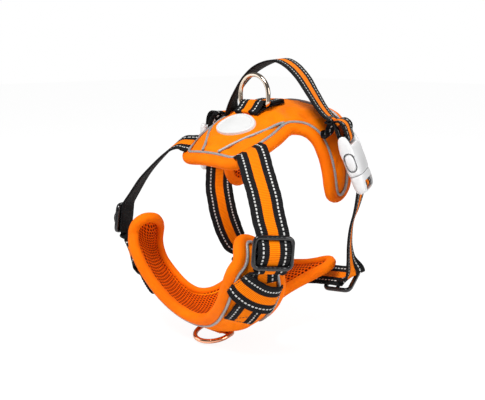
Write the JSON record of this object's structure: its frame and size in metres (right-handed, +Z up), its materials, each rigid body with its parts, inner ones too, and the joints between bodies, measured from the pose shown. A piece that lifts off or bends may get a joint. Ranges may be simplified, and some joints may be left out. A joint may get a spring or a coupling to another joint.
{
  "type": "no pull harness",
  "caption": "Padded dog harness with back and chest panels, webbing straps, side-release buckles, strap sliders, grab handle and leash rings on back and chest.",
  "frame": {"origin": "centre of the bar of the leash ring on the back", "axes": "+Z up, -Y towards the dog's head, +X towards the dog's left side"},
  "size_m": [0.1872, 0.15, 0.2167],
  "materials": {
    "shell_fabric": "woven nylon, slight sheen",
    "edge_fabric": "woven nylon, matte",
    "foam": "open-cell foam",
    "mesh_lining": "air mesh, matte",
    "reflective_piping": "retroreflective, satin",
    "badge_rubber": "soft, satin",
    "buckle_plastic": "satin",
    "slider_plastic": "gloss",
    "ring_back_metal": "polished",
    "ring_front_metal": "polished rose gold",
    "thread": "bar tack",
    "webbing": "woven polyester"
  },
  "bodies": {
    "root": {"back_shell": "shell_fabric", "back_foam": "foam", "back_lining": "mesh_lining", "back_rim": "edge_fabric", "back_piping": "reflective_piping", "accent_piping": "reflective_piping", "badge": "badge_rubber", "spine_webbing": "webbing", "spine_base": "webbing", "handle_tack_left": "thread", "handle_tack_right": "thread", "anchor_left": "webbing", "anchor_right": "webbing", "socket_left": "buckle_plastic", "socket_right": "buckle_plastic", "girth_strap_left": "webbing", "girth_strap_right": "webbing", "neck_strap_left": "webbing", "neck_strap_right": "webbing", "keeper_left": "webbing", "keeper_right": "webbing", "arm_strap_left": "webbing", "arm_strap_right": "webbing", "ring_patch": "edge_fabric", "chest_shell": "shell_fabric", "chest_foam": "foam", "chest_lining": "mesh_lining", "chest_rim": "edge_fabric", "chest_piping": "reflective_piping"},
    "back_ring": {"back_ring": "ring_back_metal"},
    "front_ring": {"front_ring": "ring_front_metal"},
    "handle": {"handle": "webbing"},
    "neck_slider_left": {"neck_slider_left": "slider_plastic", "neck_loop_left": "webbing"},
    "girth_slider_left": {"girth_slider_left": "slider_plastic"},
    "plug_left": {"plug_left": "buckle_plastic"},
    "latch_left_rear": {"latch_left_rear": "buckle_plastic"},
    "latch_left_front": {"latch_left_front": "buckle_plastic"},
    "neck_slider_right": {"neck_slider_right": "slider_plastic", "neck_loop_right": "webbing"},
    "girth_slider_right": {"girth_slider_right": "slider_plastic"},
    "plug_right": {"plug_right": "buckle_plastic"},
    "latch_right_rear": {"latch_right_rear": "buckle_plastic"},
    "latch_right_front": {"latch_right_front": "buckle_plastic"}
  },
  "joints": [
    {"name": "back_ring_swing", "type": "hinge", "parent": "root", "child": "back_ring", "pos_m": [0, 0, 0], "axis": [1, 0, 0], "range_deg": [-60, 60]},
    {"name": "front_ring_swing", "type": "hinge", "parent": "root", "child": "front_ring", "pos_m": [0, -0.038, -0.1749], "axis": [1, 0, 0], "range_deg": [0, 100]},
    {"name": "handle_fold", "type": "hinge", "parent": "root", "child": "handle", "pos_m": [0, 0.026, -0.005], "axis": [1, 0, 0], "range_deg": [-40, 24], "deforming": ["handle"]},
    {"name": "neck_adjust_left", "type": "slide", "parent": "root", "child": "neck_slider_left", "axis": [-0.0199, 0.1191, 0.9927], "range_m": [-0.006, 0.006]},
    {"name": "girth_adjust_left", "type": "slide", "parent": "root", "child": "girth_slider_left", "axis": [-0.9623, -0.2694, -0.0385], "range_m": [-0.003, 0.005]},
    {"name": "buckle_release_left", "type": "slide", "parent": "root", "child": "plug_left", "axis": [0.2995, 0.2196, -0.9285], "range_m": [0, 0.028], "deforming": ["girth_strap_left"]},
    {"name": "latch_squeeze_left_rear", "type": "hinge", "parent": "plug_left", "child": "latch_left_rear", "pos_m": [0.07293, 0.04372, -0.04745], "axis": [0.841, 0.3987, 0.3656], "range_deg": [0, 8], "stiffness_Nm_per_rad": 0.05},
    {"name": "latch_squeeze_left_front", "type": "hinge", "parent": "plug_left", "child": "latch_left_front", "pos_m": [0.08194, 0.02592, -0.04876], "axis": [0.841, 0.3987, 0.3656], "range_deg": [-8, 0], "stiffness_Nm_per_rad": 0.05},
    {"name": "neck_adjust_right", "type": "slide", "parent": "root", "child": "neck_slider_right", "axis": [0.0199, 0.1191, 0.9927], "range_m": [-0.006, 0.006]},
    {"name": "girth_adjust_right", "type": "slide", "parent": "root", "child": "girth_slider_right", "axis": [0.9623, -0.2694, -0.0385], "range_m": [-0.003, 0.005]},
    {"name": "buckle_release_right", "type": "slide", "parent": "root", "child": "plug_right", "axis": [-0.2995, 0.2196, -0.9285], "range_m": [0, 0.028], "deforming": ["girth_strap_right"]},
    {"name": "latch_squeeze_right_rear", "type": "hinge", "parent": "plug_right", "child": "latch_right_rear", "pos_m": [-0.07293, 0.04372, -0.04745], "axis": [0.841, -0.3987, -0.3656], "range_deg": [0, 8], "stiffness_Nm_per_rad": 0.05},
    {"name": "latch_squeeze_right_front", "type": "hinge", "parent": "plug_right", "child": "latch_right_front", "pos_m": [-0.08194, 0.02592, -0.04876], "axis": [0.841, -0.3987, -0.3656], "range_deg": [-8, 0], "stiffness_Nm_per_rad": 0.05}
  ],
  "couplings": [
    {"joint": "latch_squeeze_left_front", "follows": "latch_squeeze_left_rear", "ratio": -1},
    {"joint": "latch_squeeze_right_front", "follows": "latch_squeeze_right_rear", "ratio": -1}
  ]
}
